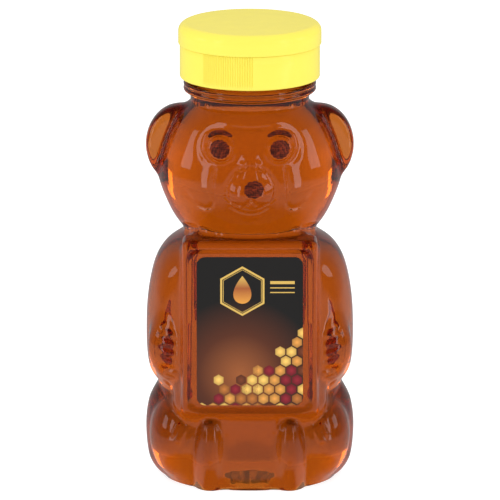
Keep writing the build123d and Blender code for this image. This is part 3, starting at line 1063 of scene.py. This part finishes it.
def label_comb(tree, place, colour):
    """Lays a comb of cells in amber, gold and dark red over the lower part of the label."""
    edge, cell = comb(tree, flat_place(tree, place, (4.0, LABEL_LOW.z + 2.0), 3.3))
    dice = add_node(tree, "ShaderNodeTexWhiteNoise", {"Vector": cell}, noise_dimensions="3D")
    chance = dice.outputs["Value"]
    fill = ramp(tree, chance, *CELL_COLOURS)
    fill.node.color_ramp.interpolation = "CONSTANT"
    lit = mix_colour(tree, 1.0, fill, grey_ramp(tree, edge, 1.25, 0.55, 0.0, 0.47), "MULTIPLY")
    rising = along(tree, cell, (0.62, 0, -1.0))
    present = math_node(tree, "GREATER_THAN", math_node(tree, "MULTIPLY_ADD", chance, 2.2, rising), -2.6)
    shown = math_node(tree, "MULTIPLY", present, between(tree, edge, -1.0, 0.44))
    return mix_colour(tree, shown, colour, lit)


def label_drop(tree, place, colour):
    """Lays a drop in a six-sided frame over the upper part of the label."""
    edge = six_sided(tree, flat_place(tree, place, (-2.2, LABEL_MIDDLE + 12.2), 13.0))
    for low, high in ((0.455, 0.5), (0.425, 0.436)):
        colour = mix_colour(tree, between(tree, edge, low, high), colour, GOLD)
    axes = axes_of(tree, flat_place(tree, place, (-2.2, LABEL_MIDDLE + 8.4), 8.4))
    up = math_node(tree, "MAXIMUM", axes["Z"], 0.0)
    half = math_node(tree, "MULTIPLY", math_node(tree, "SQRT", up), math_node(tree, "SUBTRACT", 1.0, up))
    side = math_node(tree, "ABSOLUTE", axes["X"])
    inside = math_node(tree, "LESS_THAN", math_node(tree, "MULTIPLY_ADD", half, -0.82, side), 0.0)
    shade = ramp(tree, axes["Z"], (0.0, (0.70, 0.30, 0.045)), (0.55, AMBER), (1.0, GOLD))
    return mix_colour(tree, inside, colour, shade)


def label_lines(tree, place, colour):
    """Lays three gold lines beside the frame."""
    axes = axes_of(tree, flat_place(tree, place, (0.0, LABEL_MIDDLE + 12.2), 1.0))
    wide = between(tree, axes["X"], 6.0, 13.2)
    for height, half in GOLD_LINES:
        high = between(tree, axes["Z"], height - half, height + half)
        colour = mix_colour(tree, math_node(tree, "MULTIPLY", wide, high), colour, GOLD)
    return colour


def satin_film(tree, shader, place, colour):
    """Gives a label its printed colour and the sheen of film."""
    tree.links.new(colour, shader.inputs["Base Color"])
    set_inputs(shader, Roughness=0.3, IOR=1.42)
    roughen(tree, shader, noise(tree, place, 500.0), 0.00001)


def label_material():
    material, tree, shader = new_material("front label film")
    place = object_place(tree)
    colour = label_comb(tree, place, label_glow(tree, place))
    colour = label_lines(tree, place, label_drop(tree, place, colour))
    satin_film(tree, shader, place, colour)
    return material


def back_label_material():
    """Black film with a plain cream field."""
    material, tree, shader = new_material("back label film")
    place = object_place(tree)
    middle = (BACK_LOW + BACK_HIGH) / 2
    half = (BACK_HIGH - BACK_LOW) / 2
    border = 1.6
    moved = vector_node(tree, "SUBTRACT", place, (0, 0, middle.z * MM))
    spread = axes_of(tree, vector_node(tree, "ABSOLUTE", moved))
    inside = math_node(
        tree, "MULTIPLY", math_node(tree, "LESS_THAN", spread["X"], (half.x - border) * MM),
        math_node(tree, "LESS_THAN", spread["Z"], (half.z - border) * MM),
    )
    field = ramp(tree, noise(tree, place, 60.0), (0.3, (0.74, 0.67, 0.49)), (0.7, (0.79, 0.72, 0.54)))
    satin_film(tree, shader, place, mix_colour(tree, inside, BLACK_FILM, field))
    return material


class HONEYBEAR_OT_bottle(bpy.types.Operator):
    """The clear shell in the shape of a sitting bear"""

    bl_idname = "honeybear.bottle"
    bl_label = "Bottle"

    def execute(self, context):
        form = bottle_form()
        finish_piece(form, "bear_shell", None, "bottle", "clear_bottle_plastic", "bottle_shell", sharp=50)
        return {"FINISHED"}


class HONEYBEAR_OT_honey(bpy.types.Operator):
    """The honey that fills the bottle"""

    bl_idname = "honeybear.honey"
    bl_label = "Honey"

    def execute(self, context):
        form = honey_form()
        finish_piece(form, "honey_fill", honey_material(), "bottle", "amber_honey", "honey", sharp=50)
        return {"FINISHED"}


class HONEYBEAR_OT_prints(bpy.types.Operator):
    """The printed eyes, dark ink strokes along the brows that are painted shade of the brow creases, and
    the printed nose
    """

    bl_idname = "honeybear.prints"
    bl_label = "Eyes and nose"

    def execute(self, context):
        ink = ink_material()
        for side, node in ((1, "left_eye_print"), (-1, "right_eye_print")):
            # Each eyebrow is a dark ink stroke of painted shade along its crease
            brow_painted_shade = [(side * x, z) for x, z in BROW]
            eye = disc("eye", (side * EYE[0], EYE[1]), EYE_PRINT, 14)
            printed(node + "_ink", [eye, ribbon("brow_painted_shade", brow_painted_shade, 1.4)], ink, node)
        printed("nose_print_ink", [disc("nose", NOSE, NOSE_PRINT, 9)], ink, "nose_print")
        return {"FINISHED"}


class HONEYBEAR_OT_labels(bpy.types.Operator):
    """The front and back labels"""

    bl_idname = "honeybear.labels"
    bl_label = "Labels"

    def execute(self, context):
        for node, low, high, material in (
            ("front_label", LABEL_LOW, LABEL_HIGH, label_material()),
            ("back_label", BACK_LOW, BACK_HIGH, back_label_material()),
        ):
            sheet = rounded_plate(node, low, high)
            finish_piece(sheet, node + "_sheet", material, "bottle", node + "_film", node, sharp=20)
        # Light through the honey passes the back label, because the photograph shows nothing of one
        sheet.visible_transmission = False
        return {"FINISHED"}


class HONEYBEAR_OT_cap(bpy.types.Operator):
    """The screw cap with its ribs and spout, the flip lid, the living hinge and the liner"""

    bl_idname = "honeybear.cap"
    bl_label = "Cap"

    def execute(self, context):
        yellow = cap_plastic()
        finish_piece(cap_base_form(), "screw_cap", yellow, "cap", "yellow_cap_plastic", "cap_base")
        finish_piece(lid_form(), "flip_top", yellow, "flip_lid", "yellow_cap_plastic", "lid")
        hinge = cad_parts["living_hinge"]
        hinge.data.materials.clear()
        hinge.data.materials.append(yellow)
        low, high = LINER_LOW.z, LINER_HIGH.z
        rim = LINER_HIGH.x
        outline = [(0, low), (rim - 0.15, low), (rim, low + 0.15)]
        outline += [(rim, high - 0.15), (rim - 0.15, high), (0, high)]
        liner = lathe("liner", outline, 144)
        finish_piece(liner, "foam_liner", foam_material(), "liner", "white_foam_liner", "seal_liner")
        return {"FINISHED"}


# The photograph's view: tilt in degrees, distance in metres, the sensor's width, the picture's width in
# pixels, and a pixel's size and the point aimed at in millimetres
CAMERA_TILT = 13.8
CAMERA_DISTANCE = 2.4
SENSOR_WIDTH = 36
PICTURE_WIDTH = 500
PIXEL = 0.2966
AIM = (0.05, 0.0, 68.46)
# Lights: name, azimuth, height, width and height of the light, power
SOFTBOXES = (
    ("left light", -53, 0.25, (0.16, 0.8), 0.85), ("right light", 57, 0.25, (0.16, 0.8), 0.85),
    ("left side light", -85, 0.3, (0.3, 0.35), 0.5), ("right side light", 88, 0.3, (0.3, 0.35), 0.5),
)
# The same for lights behind the bottle that are seen through it alone
GLOWS = (("left glow", -118, 0.12, (0.25, 0.35), 1.3), ("right glow", 120, 0.12, (0.25, 0.35), 1.3))


def studio_world():
    """Pale all round; reflections see it dark, but for a pale band below the horizon and a grey back."""
    world = bpy.data.worlds.new("studio")
    world.use_nodes = True
    tree = world.node_tree
    path = add_node(tree, "ShaderNodeLightPath")
    place = add_node(tree, "ShaderNodeTexCoord").outputs["Generated"]
    back = along(tree, place, (0.0, 1.0, 0.0))
    up = along(tree, place, (0.0, 0.0, 1.0))
    band = ramp(
        tree, math_node(tree, "MULTIPLY_ADD", up, 0.5, 0.5),
        (0.14, (0.06,) * 3), (0.2, (0.5,) * 3), (0.42, (0.5,) * 3), (0.45, (0.08,) * 3),
    )
    behind = grey_ramp(tree, math_node(tree, "MULTIPLY_ADD", back, 0.5, 0.5), 0.0, 1.0, 0.5, 1.0)
    mirror = mix_colour(tree, behind, band, (0.4, 0.4, 0.4))
    side = grey_ramp(tree, sideways(tree, place), 0.0, 1.0, 0.35, 0.9)
    through = mix_colour(tree, side, (1.0, 1.0, 1.0), (1.7, 1.7, 1.7))
    seen = mix_colour(tree, path.outputs["Is Transmission Ray"], mirror, through)
    seen = mix_colour(tree, path.outputs["Is Camera Ray"], seen, (1.0, 1.0, 1.0))
    seen = mix_colour(tree, path.outputs["Is Diffuse Ray"], seen, grey_ramp(tree, up, 1.06, 1.35, 0.0, 1.0))
    tree.links.new(seen, tree.nodes["Background"].inputs["Color"])
    return world


def softbox(name, azimuth, height, size, power, distance=0.9):
    """A soft light round the bottle, azimuth 0 at the camera's side and 90 to its right."""
    light = bpy.data.lights.new(name, "AREA")
    light.shape = "RECTANGLE"
    light.size, light.size_y = size
    light.energy = power
    ob = bpy.data.objects.new(name, light)
    bpy.context.collection.objects.link(ob)
    angle = math.radians(azimuth)
    ob.location = (distance * math.sin(angle), -distance * math.cos(angle), height)
    aim = Vector((0, 0, 0.07)) - ob.location
    ob.rotation_euler = aim.to_track_quat("-Z", "Y").to_euler()
    ob.visible_camera = False
    ob.visible_transmission = False
    return ob


def floor_through_honey(tree):
    """Light of the floor as seen through the honey: darker near the bottle, brighter to its sides."""
    place = object_place(tree)
    behind = grey_ramp(tree, along(tree, place, (0.0, 1.0, 0.0)), 0.33, 0.62, 0.03, 0.2)
    away = length(tree, place)
    side = grey_ramp(tree, sideways(tree, vector_node(tree, "NORMALIZE", place)), 0.0, 1.0, 0.35, 0.9)
    glow = math_node(tree, "MULTIPLY", side, grey_ramp(tree, away, 0.0, 1.0, 0.1, 0.3))
    light = mix_colour(tree, glow, behind, (1.3, 1.3, 1.3))
    return mix_colour(tree, grey_ramp(tree, away, 0.0, 1.0, 0.024, 0.075), (0.08, 0.08, 0.08), light)


def place_floor():
    deselect()
    bpy.ops.mesh.primitive_plane_add(size=12)
    floor = bpy.context.object
    floor.name = "floor"
    material, tree, shader = new_material("pale floor")
    set_inputs(shader, Base_Color=(0.4, 0.4, 0.4), Roughness=0.7, Emission_Strength=1.0)
    through = add_node(tree, "ShaderNodeLightPath").outputs["Is Transmission Ray"]
    light = mix_colour(tree, through, (0.82, 0.82, 0.82), floor_through_honey(tree))
    tree.links.new(light, shader.inputs["Emission Color"])
    floor.data.materials.append(material)
    floor.visible_glossy = False


def place_camera():
    data = bpy.data.cameras.new("camera")
    camera = bpy.data.objects.new("camera", data)
    bpy.context.scene.collection.objects.link(camera)
    tilt = math.radians(CAMERA_TILT)
    camera.location = Vector(AIM) * MM + CAMERA_DISTANCE * Vector((0, -math.cos(tilt), math.sin(tilt)))
    camera.rotation_euler = (math.pi / 2 - tilt, 0, 0)
    data.sensor_width = SENSOR_WIDTH
    data.lens = SENSOR_WIDTH * CAMERA_DISTANCE / (PICTURE_WIDTH * PIXEL * MM)
    data.clip_end = 50
    bpy.context.scene.camera = camera


class HONEYBEAR_OT_stage(bpy.types.Operator):
    """Floor, light and camera"""

    bl_idname = "honeybear.stage"
    bl_label = "Stage"

    def execute(self, context):
        scene = context.scene
        place_floor()
        scene.world = studio_world()
        for values in SOFTBOXES:
            softbox(*values)
        for values in GLOWS:
            glow = softbox(*values)
            glow.visible_transmission = True
            glow.visible_glossy = False
            glow.visible_diffuse = False
        scene.view_settings.view_transform = "Standard"
        # Light crosses the wall and the honey many times before it leaves the bottle
        for name in ("max_bounces", "transmission_bounces", "transparent_max_bounces"):
            setattr(scene.cycles, name, 40)
        scene.cycles.glossy_bounces = 16
        place_camera()
        return {"FINISHED"}


class HONEYBEAR_PT_panel(bpy.types.Panel):
    """Lists the pieces with the sizes and colours that they take"""

    bl_idname = "HONEYBEAR_PT_panel"
    bl_label = "Honey bear bottle"
    bl_space_type = "VIEW_3D"
    bl_region_type = "UI"
    bl_category = "Honey bear"

    def draw(self, context):
        for operator in OPERATORS:
            self.layout.operator(operator.bl_idname)
        for group in (context.scene.bottle_sizes, context.scene.looks):
            for name in group.__annotations__:
                self.layout.prop(group, name)


OPERATORS = (
    HONEYBEAR_OT_bottle, HONEYBEAR_OT_honey, HONEYBEAR_OT_prints, HONEYBEAR_OT_labels, HONEYBEAR_OT_cap,
    HONEYBEAR_OT_stage,
)
CLASSES = (BottleSizes, Looks) + OPERATORS + (HONEYBEAR_PT_panel,)


def register():
    for item in CLASSES:
        bpy.utils.register_class(item)
    bpy.types.Scene.bottle_sizes = PointerProperty(type=BottleSizes)
    bpy.types.Scene.looks = PointerProperty(type=Looks)


def unregister():
    del bpy.types.Scene.bottle_sizes
    del bpy.types.Scene.looks
    for item in reversed(CLASSES):
        bpy.utils.unregister_class(item)


def main():
    register()
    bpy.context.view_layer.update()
    bpy.ops.honeybear.bottle()
    bpy.ops.honeybear.honey()
    bpy.ops.honeybear.prints()
    bpy.ops.honeybear.labels()
    bpy.ops.honeybear.cap()
    bpy.ops.honeybear.stage()
    bpy.data.objects.remove(FORMS.pop("skin"))


if __name__ == "__main__":
    main()
